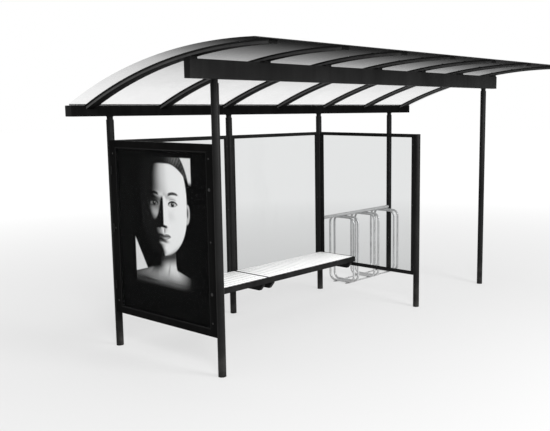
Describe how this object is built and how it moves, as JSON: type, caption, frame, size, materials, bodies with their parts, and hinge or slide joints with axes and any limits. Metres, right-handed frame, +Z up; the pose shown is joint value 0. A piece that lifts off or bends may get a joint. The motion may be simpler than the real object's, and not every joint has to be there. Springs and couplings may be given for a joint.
{
  "type": "bus shelter",
  "caption": "Open-fronted bus shelter with round posts, curved roof sheet on ribs, poster case, glazed bays, partition, slatted bench and cycle rack.",
  "frame": {"origin": "on the floor, below the middle of the whole shelter", "axes": "+Z up; +X along the shelter away from the poster case; +Y towards the rear wall"},
  "size_m": [5.42, 2.6361, 2.7975],
  "materials": {
    "frame": "satin dark grey powder coat",
    "roof": "smoked clear sheet",
    "glazing": "clear",
    "board": "printed poster on a board",
    "seat": "light powder coat",
    "zinc": "galvanised"
  },
  "bodies": {
    "root": {"post_rear_1": "frame", "post_rear_2": "frame", "post_rear_3": "frame", "post_rear_4": "frame", "post_front_left": "frame", "post_front_right": "frame", "post_partition": "frame", "rear_beam": "frame", "front_beam": "frame", "rib_1": "frame", "rib_2": "frame", "rib_3": "frame", "rib_4": "frame", "rib_5": "frame", "rib_6": "frame", "rib_7": "frame", "rib_saddles": "frame", "roof_sheet": "roof", "roof_edge_front": "frame", "roof_edge_rear": "frame", "rear_frame_1": "frame", "rear_frame_2": "frame", "rear_glass_1": "glazing", "rear_glass_2": "glazing", "partition_frame": "frame", "partition_glass": "glazing", "case_frame": "frame", "case_board": "board", "case_glass_out": "glazing", "case_glass_in": "glazing", "bench_frame_1": "frame", "bench_frame_2": "frame", "bench_seat_1": "seat", "bench_seat_2": "seat", "bench_bracket_1": "frame", "bench_bracket_2": "frame", "bench_bracket_3": "frame", "rack_rail": "zinc", "rack_hoops_1": "zinc", "rack_hoops_2": "zinc", "rack_hoops_3": "zinc", "rack_base": "zinc"}
  },
  "joints": []
}
